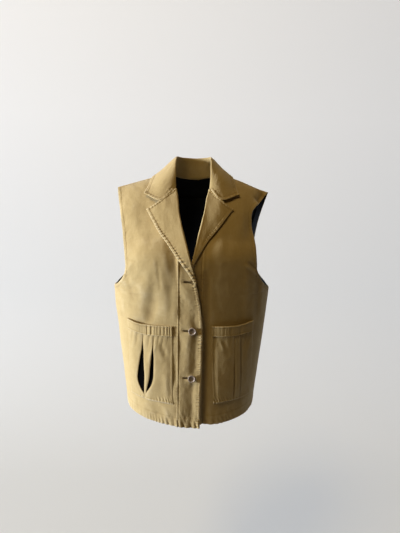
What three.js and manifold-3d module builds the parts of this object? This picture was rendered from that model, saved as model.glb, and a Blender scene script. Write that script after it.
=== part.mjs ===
// A sleeveless canvas hunting vest with a notched collar, lapels and two pleated patch pockets.
// Millimetres, +Z up. The origin lies between the neck points of the two shoulder seams.
// The front faces -Y and the wearer's left is +X. Levels count down from the neck points.
import * as THREE from "three";
import Module from "manifold-3d";

const { clamp, degToRad, lerp, smoothstep } = THREE.MathUtils;

const CANVAS = 1.6;          // canvas wall
const THIN = 1.0;            // lining wall
const SEAM = 0.5;            // space between edges sewn together
const LAYER = 0.5;           // space between layers laid on each other
const STEP = CANVAS + LAYER; // one canvas layer up from the next

const NECK = { side: 72, back: 46, drop: 14 };
const SHOULDER = { slope: Math.tan(degToRad(16)), ridge: 4, round: 250 };
const ROUNDING = { front: 1.35, back: 1.8 };
const SECTION_POWER = 2.5;
const SPREAD = 1.4;          // how strongly the columns of a front close up towards the armhole
const UNDERARM = -315;
const HEM = { level: -685, rise: 20, riseFrom: -560, overDip: -4, underLift: 9 };
const BAND = { seam: 33, edge: 25, top: -122 };
const OVERLAP = { recess: 5.5, from: 85, full: 30, fadeTop: -100, fadeFull: -190 };
const LAPEL = { off: STEP + 0.4, roll: 3.5 };
const POCKET = { outer: 169, top: -396, bottom: -620, seat: STEP + 0.3, puff: 12, band: 27 };
const LINING_OFF = -5;       // the lining hangs free of the canvas
const BUTTON = { radius: 10.5, thick: 3.2, shank: 1.6, x: 6, levels: [-275, -407, -541] };
const HOLE = { eye: 2.3, slit: 1.0, length: 23 };

const COLOURS = {
  canvas: 0xb39b62,
  lining: 0x1c1d20,
  button: 0x4a3a2c,
};

// Reads a table of named columns smoothly at any value of its first column.
function table(columns, rows) {
  const sorted = [...rows].sort((a, b) => a[0] - b[0]);
  const keys = sorted.map((row) => row[0]);
  const values = sorted.flatMap((row) => row.slice(1));
  const curve = new THREE.CubicInterpolant(keys, values, columns.length - 1);
  return (key) => {
    const read = curve.evaluate(key);
    return Object.fromEntries(columns.slice(1).map((name, k) => [name, read[k]]));
  };
}

// Body form: half width, and depth to the front and back of the side seams.
const BODY = table(["level", "width", "front", "back"], [
  [0, 224, 150, 114],
  [-150, 222, 152, 122],
  [-250, 222, 152, 119],
  [-315, 222, 151, 114],
  [-430, 213, 149, 110],
  [-570, 199, 149, 117],
  [-685, 189, 150, 121],
]);

// Armhole edges: distance from the middle at each level, for both fronts and the back.
const ARMHOLE = table(["level", "right", "left", "back"], [
  [0, 213, 210, 212],
  [-35, 207, 184, 206],
  [-75, 199, 160, 199],
  [-110, 192, 152, 194],
  [-160, 184, 158, 189],
  [-215, 175, 170, 186],
  [-255, 174, 177, 187],
  [-285, 188, 193, 198],
  [-303, 208, 210, 211],
  [-315, 222, 222, 222],
]);

// Roll lines, where the fronts turn back into the lapels; below the break they are the front edges.
const ROLL = table(["level", "right", "left"], [
  [0, 72, 72],
  [-25, 58, 58],
  [-45, 47, 46],
  [-110, 34, 31],
  [-160, 21, 19],
  [-210, 6, 8],
  [-240, -3, 0],
  [-282, -14, -14],
  [-310, -20, -21],
  [-350, -25, -25],
  [-700, -25, -25],
]);

// Outer edges of the lapels from the break up to the tip, a row for each step along the edge.
const LAPEL_RIGHT = table(["along", "rollLevel", "x", "level"], [
  [0, -282, -14, -284],
  [0.2, -243, 9, -247],
  [0.45, -180, 46, -200],
  [0.7, -113, 83, -154],
  [0.88, -73, 110, -116],
  [1, -46, 122, -94],
]);
const LAPEL_LEFT = table(["along", "rollLevel", "x", "level"], [
  [0, -240, 0, -243],
  [0.2, -206, 18, -209],
  [0.45, -160, 41, -174],
  [0.7, -105, 71, -139],
  [0.88, -72, 98, -108],
  [1, -46, 110, -92],
]);

// Folds of the cloth: a ridge or dent of a given rise that leans as it runs down.
const FOLD_COLUMNS = ["x", "top", "bottom", "lean", "width", "rise"];
const FOLDS = {
  front: [
    [-108, -120, -355, 0.0, 58, 9],
    [108, -120, -355, 0.0, 58, 9],
    [-76, -215, -372, 0.06, 13, 4],
    [-52, -190, -400, 0.02, 12, -4],
    [-165, -300, -560, 0.1, 16, 5],
    [-128, -330, -600, 0.05, 14, -3],
    [72, -220, -372, -0.05, 13, 4],
    [176, -300, -600, -0.12, 15, 6],
    [146, -270, -520, -0.1, 14, -4],
    [168, -60, -190, -0.1, 22, -9],
    [-178, -60, -190, 0.1, 18, -4],
  ],
  back: [
    [-95, -90, -330, 0.0, 60, 6],
    [95, -90, -330, 0.0, 60, 6],
    [0, -200, -720, 0.0, 26, -5],
    [-130, -300, -720, 0.06, 24, 6],
    [130, -300, -720, -0.06, 24, 6],
    [-70, -380, -720, 0.02, 18, 4],
    [70, -380, -720, -0.02, 18, 4],
  ],
};

function foldRise(x, level, folds) {
  let rise = 0;
  for (const row of folds) {
    const fold = Object.fromEntries(FOLD_COLUMNS.map((name, k) => [name, row[k]]));
    const along = (fold.top - level) / (fold.top - fold.bottom);
    if (along <= 0 || along >= 1) continue;
    const centre = fold.x + fold.lean * (fold.top - level);
    const across = (x - centre) / fold.width;
    rise += fold.rise * Math.sin(Math.PI * along) ** 2 * Math.exp(-across * across);
  }
  return rise;
}

const nearHem = (level) => smoothstep(HEM.riseFrom - level, 0, HEM.riseFrom - HEM.level);
const signedPower = (value, power) => Math.sign(value) * Math.abs(value) ** power;

// A point of the smooth body form; the angle is 0 at the front middle and 180 degrees at the back.
function form(angle, level) {
  const body = BODY(level);
  const power = 2 / SECTION_POWER;
  const x = body.width * signedPower(Math.sin(angle), power);
  const isBack = Math.cos(angle) < 0;
  const depth = isBack ? body.back : body.front;
  const full = -depth * signedPower(Math.cos(angle), power);
  const lift = clamp((level + SHOULDER.round) / SHOULDER.round, 0, 1);
  const round = isBack ? ROUNDING.back : ROUNDING.front;
  const inNeck = Math.sqrt(Math.max(0, 1 - (x / NECK.side) ** 2));
  const ridge = SHOULDER.ridge + (isBack ? 0.9 : -0.9) * SEAM;
  const top = ridge + (isBack ? NECK.back * inNeck : 0);
  const y = top + (full - top) * (1 - lift ** round) ** (1 / round);
  const drop = lift * SHOULDER.slope * Math.max(0, Math.abs(x) - NECK.side);
  const rise = HEM.rise * nearHem(level) * (x / body.width) ** 2;
  return new THREE.Vector3(x, y, level - drop + rise);
}

// The angle at which the front, or the back, is a distance x from the middle.
function angleAt(x, level, isBack = false) {
  const share = clamp(Math.abs(x) / BODY(level).width, 0, 1);
  const angle = Math.asin(share ** (SECTION_POWER / 2)) * Math.sign(x);
  return isBack ? Math.PI * Math.sign(x || 1) - angle : angle;
}

// A point off the body form along its normal, with the folds of the cloth.
function skin(angle, level, off = 0) {
  const point = form(angle, level);
  const turn = 0.012;
  const rise = 1.5;
  const across = form(angle + turn, level).sub(form(angle - turn, level));
  const up = form(angle, Math.min(level + rise, 0)).sub(form(angle, level - rise));
  const normal = across.cross(up).normalize();
  const folds = Math.cos(angle) < 0 ? FOLDS.back : FOLDS.front;
  return point.addScaledVector(normal, off + foldRise(point.x, level, folds));
}

// How far the left front sinks where it passes under the right one.
function recess(x, level) {
  const across = 1 - smoothstep(x, OVERLAP.full, OVERLAP.from);
  const down = 1 - smoothstep(level, OVERLAP.fadeFull, OVERLAP.fadeTop);
  return -OVERLAP.recess * across * down;
}

// One half of the front: x counts from the middle towards its own side seam.
const RIGHT = { name: "right", sign: -1, sink: () => 0, hemLift: HEM.overDip, hemReach: 75, pocketInner: 45 };
const LEFT = { name: "left", sign: 1, sink: recess, hemLift: HEM.underLift, hemReach: 150, pocketInner: 57 };

function onFront(side, x, level, off) {
  const angle = angleAt(side.sign * x, level);
  return skin(angle, level, off + side.sink(x, level));
}

// Levels that start close together and spread out upwards, as the foot of an armhole needs.
function spreading(from, to, count) {
  return Array.from({ length: count }, (_, k) => lerp(from, to, ((k + 1) / count) ** 2));
}

// Values from the first to the last with a given number of steps between each pair.
function steps(...stops) {
  const values = [stops[0]];
  for (let k = 1; k < stops.length; k += 2) {
    const from = values[values.length - 1];
    const count = stops[k];
    for (let j = 1; j <= count; j += 1) values.push(lerp(from, stops[k + 1], j / count));
  }
  return values;
}

function gridNormals(grid) {
  const last = grid.length - 1;
  const end = grid[0].length - 1;
  return grid.map((row, j) => row.map((_, i) => {
    const across = new THREE.Vector3().subVectors(row[Math.min(i + 1, end)], row[Math.max(i - 1, 0)]);
    const above = grid[Math.min(j + 1, last)][i];
    const up = new THREE.Vector3().subVectors(above, grid[Math.max(j - 1, 0)][i]);
    return across.cross(up).normalize();
  }));
}

// A cloth wall: a grid of points thickened to both sides and closed round its edges.
function wall(grid, thickness) {
  const rows = grid.length;
  const columns = grid[0].length;
  const normals = gridNormals(grid);
  const positions = [];
  for (const side of [0.5, -0.5]) {
    grid.forEach((row, j) => row.forEach((point, i) => {
      const moved = point.clone().addScaledVector(normals[j][i], side * thickness);
      positions.push(moved.x, moved.y, moved.z);
    }));
  }
  const at = (layer, j, i) => (layer * rows + j) * columns + i;
  const faces = [];
  const quad = (a, b, c, d) => faces.push(a, b, c, a, c, d);
  const top = rows - 1;
  const end = columns - 1;
  for (let j = 0; j < top; j += 1) {
    for (let i = 0; i < end; i += 1) {
      quad(at(0, j, i), at(0, j, i + 1), at(0, j + 1, i + 1), at(0, j + 1, i));
      quad(at(1, j, i), at(1, j + 1, i), at(1, j + 1, i + 1), at(1, j, i + 1));
    }
    quad(at(0, j, 0), at(0, j + 1, 0), at(1, j + 1, 0), at(1, j, 0));
    quad(at(0, j, end), at(1, j, end), at(1, j + 1, end), at(0, j + 1, end));
  }
  for (let i = 0; i < end; i += 1) {
    quad(at(0, 0, i), at(1, 0, i), at(1, 0, i + 1), at(0, 0, i + 1));
    quad(at(0, top, i), at(0, top, i + 1), at(1, top, i + 1), at(1, top, i));
  }
  const geometry = new THREE.BufferGeometry();
  geometry.setAttribute("position", new THREE.Float32BufferAttribute(positions, 3));
  geometry.setIndex(faces);
  return geometry;
}

const wasm = await Module();
wasm.setup();

function solidOf(geometry) {
  const mesh = new wasm.Mesh({
    numProp: 3,
    vertProperties: new Float32Array(geometry.attributes.position.array),
    triVerts: new Uint32Array(geometry.index.array),
  });
  mesh.merge();
  return new wasm.Manifold(mesh);
}

// Cuts prisms out of a wall.
function cut(geometry, prisms) {
  let solid = solidOf(geometry);
  for (const prism of prisms) solid = solid.subtract(solidOf(prism));
  const mesh = solid.getMesh();
  const result = new THREE.BufferGeometry();
  result.setAttribute("position", new THREE.Float32BufferAttribute(mesh.vertProperties, 3));
  result.setIndex(Array.from(mesh.triVerts));
  return result;
}

// A prism that runs from front to back through a flat shape drawn in x and z.
function prismThrough(shape, fromY, toY) {
  const geometry = new THREE.ExtrudeGeometry(shape, {
    depth: toY - fromY,
    bevelEnabled: false,
    curveSegments: 5,
  });
  geometry.rotateX(Math.PI / 2);
  geometry.translate(0, toY, 0);
  geometry.deleteAttribute("uv");
  geometry.deleteAttribute("normal");
  const count = geometry.attributes.position.count;
  geometry.setIndex(Array.from({ length: count }, (_, k) => k));
  return geometry;
}

// The turn from a side seam that leaves half the space of a sewn edge.
const seamInset = (depth) => (SEAM / 2 / depth) ** (SECTION_POWER / 2);

// Angle across a front row, spread evenly round the body between two distances from the middle.
function frontRow(side, from, to, level, columns, off, spread = 1, edgeOff = off) {
  const start = angleAt(side.sign * from, level);
  const stop = angleAt(side.sign * to, level);
  const seam = (Math.PI / 2) * side.sign;
  const inset = seamInset(BODY(level).front);
  return Array.from({ length: columns + 1 }, (_, i) => {
    const share = i / columns;
    const angle = lerp(start, seam, share) - (seam - stop) * share ** spread;
    const clear = Math.abs(angle) > Math.abs(seam) - inset ? seam - side.sign * inset : angle;
    const x = side.sign * form(clear, level).x;
    const sewn = i === 0 ? edgeOff : off;
    const point = skin(clear, level, sewn + side.sink(x, level));
    point.z += side.hemLift * nearHem(level) * (1 - smoothstep(x, -BAND.edge, side.hemReach));
    return point;
  });
}

const ARMHOLE_LEVELS = [...spreading(UNDERARM, -262, 6), ...steps(-235, 6, -75, 3, -18, 1, -6, 1, 0)];
const FRONT_LEVELS = [...steps(HEM.level, 11, UNDERARM), ...ARMHOLE_LEVELS];

function armholeAt(side, level) {
  return level <= UNDERARM ? BODY(level).width : ARMHOLE(level)[side.name];
}

function frontPanel(side) {
  const grid = FRONT_LEVELS.map((level) => {
    const inner = Math.max(BAND.seam + SEAM, ROLL(level)[side.name]);
    return frontRow(side, inner, armholeAt(side, level), level, 10, 0, SPREAD);
  });
  return wall(grid, CANVAS);
}

function frontBand(side) {
  const levels = steps(HEM.level, 10, -350, 5, -240, 4, BAND.top);
  const grid = levels.map((level) => {
    const edge = ROLL(level)[side.name];
    return frontRow(side, edge, BAND.seam, level, 3, 0);
  });
  return wall(grid, CANVAS);
}

function backPanel(off, thickness, levels, columns, inset) {
  const grid = levels.map((level) => {
    const lift = clamp((level + SHOULDER.round) / SHOULDER.round, 0, 1);
    const edge = level <= UNDERARM ? BODY(level).width : ARMHOLE(level).back - inset;
    const side = Math.abs(angleAt(edge, level, true));
    const seam = Math.PI / 2 + seamInset(BODY(level).back);
    const start = Math.max(side, seam);
    return Array.from({ length: columns + 1 }, (_, i) => {
      const angle = lerp(start, 2 * Math.PI - start, i / columns);
      const x = form(angle, level).x;
      const dip = NECK.drop * lift ** 3 * Math.max(0, 1 - (x / NECK.side) ** 2);
      return skin(angle, level - dip, off);
    });
  });
  return wall(grid, thickness);
}

function liningPanel(side) {
  const levels = steps(HEM.level + 28, 9, UNDERARM + 4, 3, -255, 5, -100, 2, -62);
  const grid = levels.map((level) => {
    const inner = Math.max(BAND.seam + 22, ROLL(level)[side.name] + 12);
    const outer = level <= UNDERARM ? BODY(level).width : ARMHOLE(level)[side.name] - 16;
    return frontRow(side, inner, outer, level, 6, LINING_OFF, SPREAD, -STEP);
  });
  return wall(grid, THIN);
}

// The lapel lies on the front, from the roll line out to its edge, rounded where it turns.
function lapel(side, edges) {
  const alongs = steps(0.04, 4, 0.45, 6, 1);
  const acrossSteps = 7;
  const grid = alongs.map((along) => {
    const edge = edges(along);
    const roll = ROLL(edge.rollLevel)[side.name];
    return Array.from({ length: acrossSteps + 1 }, (_, i) => {
      const share = i / acrossSteps;
      const x = lerp(roll, edge.x, share);
      const level = lerp(edge.rollLevel, edge.level, share);
      const rounded = LAPEL.roll * Math.sin(Math.PI * share ** 0.6) * along;
      return onFront(side, x, level, LAPEL.off + rounded);
    });
  });
  return wall(grid, CANVAS);
}

// The stand-off of a pocket from the front: flat at its sewn edges, full in the middle and mouth.
function pocketOff(across, up) {
  const sides = smoothstep(across, 0, 0.1) * (1 - 0.9 * smoothstep(across, 0.7, 1));
  const foot = smoothstep(up, 0, 0.2);
  const mouth = 1 - 0.1 * smoothstep(up, 0.6, 1);
  return POCKET.seat + POCKET.puff * sides * foot * mouth;
}

function pocketGrid(side, acrossStops, upStops, extra) {
  return upStops.map((up) => {
    const level = lerp(POCKET.bottom, POCKET.top, up);
    const start = angleAt(side.sign * side.pocketInner, level);
    const stop = angleAt(side.sign * POCKET.outer, level);
    return acrossStops.map((across) => {
      const angle = lerp(start, stop, across);
      const x = side.sign * form(angle, level).x;
      return skin(angle, level, pocketOff(across, up) + extra + side.sink(x, level));
    });
  });
}

// Gaps along the two folds of each box pleat: kites with a top, a widest place and a foot.
const PLEATS = {
  right: [
    { top: [-127, -438], wide: [-142, -120, -558], foot: [-126, -603] },
    { top: [-97, -450], wide: [-112, -98, -550], foot: [-121, -598] },
  ],
  left: [
    { top: [118, -430], wide: [118.6, 120.4, -520], foot: [123, -606] },
    { top: [135, -430], wide: [136, 137.8, -520], foot: [140, -604] },
  ],
};

function pleatPrism(gap) {
  const [left, right, level] = gap.wide;
  const shape = new THREE.Shape();
  shape.moveTo(...gap.top);
  shape.lineTo(left, level);
  shape.lineTo(...gap.foot);
  shape.lineTo(right, level);
  shape.closePath();
  return prismThrough(shape, -190, -30);
}

const POCKET_ACROSS = steps(0, 3, 0.12, 7, 0.72, 4, 1);
const POCKET_UP = steps(0, 3, 0.2, 5, 0.8, 2, 1);

function pocket(side) {
  const solid = wall(pocketGrid(side, POCKET_ACROSS, POCKET_UP, 0), CANVAS);
  return cut(solid, PLEATS[side.name].map(pleatPrism));
}

function pocketBand(side) {
  const across = steps(0.01, 3, 0.12, 7, 0.72, 4, 0.99);
  const first = 1 - POCKET.band / (POCKET.top - POCKET.bottom);
  const grid = pocketGrid(side, across, steps(first, 2, 1), STEP + 0.2);
  return wall(grid, THIN);
}

function pleatLining(side) {
  const across = POCKET_ACROSS.slice(6, 12);
  const up = POCKET_UP.slice(2, 9);
  const grid = pocketGrid(side, across, up, -STEP - 0.2);
  return wall(grid, THIN);
}

// Sections of the collar from the middle of the back to its front end.
const COLLAR = [
  { seam: [0, 67, -12], fold: [0, 58, 46], fall: [0, 77, 28], edge: [0, 87, -30] },
  { seam: [40, 56, -8], fold: [33, 48, 47], fall: [50, 64, 28], edge: [68, 74, -28] },
  { seam: [70, 18, 1.5], fold: [47, 22, 48], fall: [74, 34, 26], edge: [108, 46, -22] },
  { seam: [71, -2, 0.5], fold: [48, 0, 42], fall: [80, 2, 20], edge: [123, 4, -10] },
  { seam: [58, -30, -23], fold: [49, -30, 8], fall: [84, -34, -8], edge: [130, -28, -34] },
  { seam: [47, -49, -43], fold: [46, -52, -39], fall: [85, -67, -65], edge: [137, -47, -54] },
];

function collarCurve(name) {
  const half = COLLAR.map((section) => new THREE.Vector3(...section[name]));
  const mirrored = half.slice(1).map((point) => point.clone().multiply(new THREE.Vector3(-1, 1, 1)));
  return new THREE.CatmullRomCurve3([...mirrored.reverse(), ...half], false, "centripetal");
}

function collar() {
  const curves = ["seam", "fold", "fall", "edge"].map(collarCurve);
  const along = 26;
  const across = 8;
  const columns = Array.from({ length: along + 1 }, (_, k) => {
    const points = curves.map((curve) => curve.getPoint(k / along));
    const section = new THREE.CatmullRomCurve3(points, false, "centripetal");
    return Array.from({ length: across + 1 }, (_, j) => section.getPoint(j / across));
  });
  const grid = columns[0].map((_, j) => columns.map((column) => column[j]));
  return wall(grid, CANVAS);
}

// A rimmed button on a short thread shank, facing the front.
function button(level, seatOff, shankTo) {
  const back = 0;
  const face = BUTTON.thick;
  const outline = [
    [0, shankTo],
    [BUTTON.shank, shankTo],
    [BUTTON.shank, back],
    [BUTTON.radius * 0.8, back],
    [BUTTON.radius, face * 0.4],
    [BUTTON.radius, face * 0.8],
    [BUTTON.radius * 0.9, face],
    [BUTTON.radius * 0.72, face],
    [BUTTON.radius * 0.6, face * 0.62],
    [0, face * 0.62],
  ].map(([radius, height]) => new THREE.Vector2(radius, height));
  const geometry = new THREE.LatheGeometry(outline, 12);
  geometry.rotateX(Math.PI);
  const seat = skin(angleAt(BUTTON.x, level), level, seatOff);
  geometry.translate(seat.x, seat.y, seat.z);
  geometry.deleteAttribute("uv");
  geometry.deleteAttribute("normal");
  const mesh = solidOf(geometry).getMesh();
  const result = new THREE.BufferGeometry();
  result.setAttribute("position", new THREE.Float32BufferAttribute(mesh.vertProperties, 3));
  result.setIndex(Array.from(mesh.triVerts));
  return result;
}

// A keyhole buttonhole: a round eye at the front edge's side and a slit back from it.
function keyhole(level) {
  const z = skin(angleAt(BUTTON.x, level), level).z;
  const shape = new THREE.Shape();
  const half = HOLE.slit / 2;
  const turn = Math.asin(half / HOLE.eye);
  shape.moveTo(BUTTON.x - HOLE.length, z - half);
  shape.absarc(BUTTON.x, z, HOLE.eye, Math.PI + turn, 3 * Math.PI - turn, false);
  shape.lineTo(BUTTON.x - HOLE.length, z + half);
  shape.closePath();
  return prismThrough(shape, -190, -100);
}

const vest = new THREE.Group();

function add(name, geometry, colour, roughness) {
  const material = new THREE.MeshStandardMaterial({ color: colour, roughness, metalness: 0 });
  const mesh = new THREE.Mesh(geometry, material);
  mesh.name = name;
  vest.add(mesh);
}

const CANVAS_ROUGH = 0.9;
const LINING_ROUGH = 0.7;
const BUTTON_ROUGH = 0.4;

for (const side of [RIGHT, LEFT]) {
  const edges = side === RIGHT ? LAPEL_RIGHT : LAPEL_LEFT;
  const band = frontBand(side);
  const holed = side === RIGHT ? cut(band, BUTTON.levels.map(keyhole)) : band;
  add(`front_${side.name}`, frontPanel(side), COLOURS.canvas, CANVAS_ROUGH);
  add(`front_band_${side.name}`, holed, COLOURS.canvas, CANVAS_ROUGH);
  add(`lapel_${side.name}`, lapel(side, edges), COLOURS.canvas, CANVAS_ROUGH);
  add(`pocket_${side.name}`, pocket(side), COLOURS.canvas, CANVAS_ROUGH);
  add(`pocket_band_${side.name}`, pocketBand(side), COLOURS.canvas, CANVAS_ROUGH);
  add(`lining_${side.name}`, liningPanel(side), COLOURS.lining, LINING_ROUGH);
}

const BACK_LEVELS = [...steps(HEM.level, 10, UNDERARM), ...ARMHOLE_LEVELS];
const BACK_LINING_LEVELS = steps(HEM.level + 28, 8, UNDERARM + 4, 3, -255, 5, -100, 2, -62);
add("back", backPanel(0, CANVAS, BACK_LEVELS, 18, 0), COLOURS.canvas, CANVAS_ROUGH);
const backLining = backPanel(LINING_OFF, THIN, BACK_LINING_LEVELS, 12, 16);
add("lining_back", backLining, COLOURS.lining, LINING_ROUGH);
add("pleat_lining_right", pleatLining(RIGHT), COLOURS.lining, LINING_ROUGH);
add("collar", collar(), COLOURS.canvas, CANVAS_ROUGH);

const [topLevel, middleLevel, bottomLevel] = BUTTON.levels;
const onTop = CANVAS / 2 + LAYER;
const underBand = -OVERLAP.recess + CANVAS / 2 + LAYER;
const throughTo = underBand - onTop;
add("button_top", button(topLevel, underBand, -0.2), COLOURS.button, BUTTON_ROUGH);
add("button_middle", button(middleLevel, onTop, throughTo), COLOURS.button, BUTTON_ROUGH);
add("button_bottom", button(bottomLevel, onTop, throughTo), COLOURS.button, BUTTON_ROUGH);

export default vest;
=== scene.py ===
# A sleeveless vest of washed cotton canvas, with a notched collar, soft lapels and two pleated patch
# pockets. Shapes are worked out in millimetres in the part's own frame and turned to metres at the end.
import math

import bpy
import numpy as np
from mathutils import Matrix
from mathutils.kdtree import KDTree


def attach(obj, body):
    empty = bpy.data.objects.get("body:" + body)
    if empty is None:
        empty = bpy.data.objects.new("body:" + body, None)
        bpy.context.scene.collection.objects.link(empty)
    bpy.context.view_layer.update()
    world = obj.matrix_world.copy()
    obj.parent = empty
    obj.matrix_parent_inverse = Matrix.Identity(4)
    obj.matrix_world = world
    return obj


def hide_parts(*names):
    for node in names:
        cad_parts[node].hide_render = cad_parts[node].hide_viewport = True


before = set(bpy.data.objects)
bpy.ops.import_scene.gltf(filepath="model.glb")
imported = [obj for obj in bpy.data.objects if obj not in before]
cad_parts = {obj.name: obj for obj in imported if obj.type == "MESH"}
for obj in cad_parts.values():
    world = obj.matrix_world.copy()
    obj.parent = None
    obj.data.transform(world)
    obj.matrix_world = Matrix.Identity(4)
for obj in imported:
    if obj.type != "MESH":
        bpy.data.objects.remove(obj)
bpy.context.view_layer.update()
VEST = "root"
MM = 0.001

# Sizes of the part, in millimetres, as its source has them. Levels count down from the neck points of
# the shoulder seams, and own distances count from the middle towards a front's own side.
CANVAS, THIN = 1.6, 1.0     # thickness of the canvas, and of the linings and turned hems
LAYER = 0.5                 # room between two layers
STEP = CANVAS + LAYER       # from the middle of one layer to the middle of the next
NECK_SIDE, NECK_BACK, NECK_DROP = 72, 46, 14
SHOULDER_SLOPE = math.tan(math.radians(16))
SHOULDER_RIDGE, SHOULDER_ROUND = 4, 250     # place of the seam, and how far down the shoulder rounds in
ROUNDING_FRONT, ROUNDING_BACK = 1.35, 1.8   # how squarely the shoulder turns over
SECTION_POWER = 2.5         # how square the vest is when seen from above
SPREAD = 1.4                # how strongly the columns of a front close up towards the armhole
UNDERARM = -315
HEM, HEM_RISE, HEM_RISE_FROM = -685, 20, -560
BAND_SEAM, BAND_EDGE, BAND_TOP = 33, 25, -122
RECESS, RECESS_FULL, RECESS_FROM = 5.5, 30, 85      # how the left front sinks to pass under the right one
LAPEL_OFF, POCKET_SEAT, LINING_OFF = STEP + 0.4, STEP + 0.3, -5     # how far they lie off the fronts
POCKET_TOP, POCKET_BOTTOM, POCKET_BAND = -396, -620, 27
POCKET_HEIGHT = POCKET_TOP - POCKET_BOTTOM
BUTTON_RADIUS, BUTTON_THICK, BUTTON_X = 10.5, 3.2, 6
BUTTON_LEVELS = {"top": -275, "middle": -407, "bottom": -541}
HOLE_LENGTH = 23

# How the soft cloth hangs on those sizes, and how it is sewn.
LEFT_DROOP = 8              # the left shoulder tip hangs lower
BAND_FLARE = 4              # the front edge runs out a little below the lapel
MIDDLE_RIDGE = 4            # the fronts fall away a little from the buttoned middle
UNDER_SINK = 2.5            # the left front sinks behind the overlap, from the middle button down
UNDER_SLACK = 8.5           # and hangs back farther at the hem
HEM_SLACK = 3               # what its whole inner part sinks more at the hem
LAPEL_LIFT = 5              # rise of the lapels at their roll
LAPEL_ROUND = {"right": 1.5, "left": 0.7}   # how far they arch between the roll and the edge
LAPEL_GAPE = {"right": 0.3, "left": 1.2}    # how far they stand off at the edge
NECK_EASING = 60            # rounds of smoothing that spread the turn of the back beside the neck
LAP = 0.8                   # how far two cloths sewn edge to edge run under each other
FOLDED = 0.8                # rise of a second layer of canvas
POCKET_SPAN = (120, 220)    # rough width and height, which turn shares of a pocket into millimetres
SEWN_FLAT = (0.5, 2.8)      # where a pocket starts to rise beside its sewn edge, and where it is full
PRESSED = (5, 17)           # the same for the pressed strip along a pocket's inner edge
POCKET_PUFF = 4             # how far a pocket swells
MOUTH_GAPE = {"right": 3.5, "left": 2.5}    # how far it stands off at its mouth
SLIT_MIDDLE, SLIT_HALF = -6, 11     # where a buttonhole's slit lies on the right band
STITCH_PITCH = 3.4          # about eight stitches to the inch
# Length, width and height of a stitch.
STITCH_SIZES = {"topstitching": (2.7, 0.8, 0.5), "buttonhole_stitches": (3.6, 1.1, 0.8)}
stitches = {"topstitching": [], "buttonhole_stitches": []}


def smooth(value, low, high):
    """0 below low, 1 above high and an S-curve between them."""
    share = np.clip((value - low) / (high - low), 0, 1)
    return share * share * (3 - 2 * share)


def bump(value, width):
    """1 at 0, falling away to both sides over about the width."""
    return np.exp(-((value / width) ** 2))


def unit(vectors):
    """The same directions with a length of 1."""
    return vectors / np.maximum(np.linalg.norm(vectors, axis=-1, keepdims=True), 1e-9)


def table(columns, rows):
    """Reads a table of named columns at any value of the first one, along smooth cubic curves."""
    rows = np.array(sorted(rows), float)
    keys, values = rows[:, 0], rows[:, 1:]
    last = len(keys) - 1
    before = np.array([1, *range(last)])
    after = np.array([*range(1, last + 1), last - 1])

    def read(key):
        key = np.clip(np.asarray(key, float), keys[0], keys[-1])
        low = np.clip(np.searchsorted(keys, key, side="right") - 1, 0, last - 1)
        high = low + 1
        span = keys[high] - keys[low]
        p = (key - keys[low]) / span
        lead = span / 2 / (keys[low] - keys[before[low]])
        trail = span / 2 / (keys[after[high]] - keys[high])
        parts = [
            (before[low], lead * (2 * p**2 - p**3 - p)),
            (low, (1 + lead) * p**3 - (1.5 + 2 * lead) * p**2 + (lead - 0.5) * p + 1),
            (high, (1.5 + trail) * p**2 - (1 + trail) * p**3 + 0.5 * p),
            (after[high], trail * (p**3 - p**2)),
        ]
        total = sum(weight[..., None] * values[row] for row, weight in parts)
        return {name: total[..., k] for k, name in enumerate(columns[1:])}

    return read


# Half width of the vest, and its depth to the front and the back of the side seams.
BODY = table(["level", "width", "front", "back"], [
    [0, 224, 150, 114], [-150, 222, 152, 122], [-250, 222, 152, 119], [-315, 222, 151, 114],
    [-430, 213, 149, 110], [-570, 199, 149, 117], [-685, 189, 150, 121],
])
# Edges of the armholes, as own distances; the left front's hangs a little farther out than in the source.
ARMHOLE = table(["level", "right", "left", "back"], [
    [0, 213, 210, 212], [-35, 207, 189, 206], [-75, 199, 163, 199], [-110, 192, 161, 194],
    [-160, 184, 168, 189], [-215, 175, 172, 186], [-255, 174, 177, 187], [-285, 188, 193, 198],
    [-303, 208, 210, 211], [-315, 222, 222, 222],
])
# Where the fronts turn back into the lapels, as own distances; below the lapels these are their edges.
ROLL = table(["level", "right", "left"], [
    [0, 72, 72], [-25, 58, 58], [-45, 47, 46], [-110, 34, 31], [-160, 21, 19], [-210, 6, 8],
    [-240, -3, 0], [-282, -14, -14], [-310, -20, -21], [-350, -25, -25], [-700, -25, -25],
])
# Free edges of the lapels, from the foot to the notch, each with its place on the roll.
LAPEL_EDGES = {
    "right": table(["along", "roll_level", "x", "level"], [
        [0, -282, -14, -284], [0.2, -243, 9, -247], [0.45, -180, 46, -200],
        [0.7, -113, 83, -154], [0.88, -73, 108, -112], [1, -46, 121, -88.5],
    ]),
    "left": table(["along", "roll_level", "x", "level"], [
        [0, -240, 0, -243], [0.2, -206, 18, -209], [0.45, -160, 41, -174],
        [0.7, -105, 71, -139], [0.88, -72, 95, -105], [1, -46, 108, -88],
    ]),
}

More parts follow.
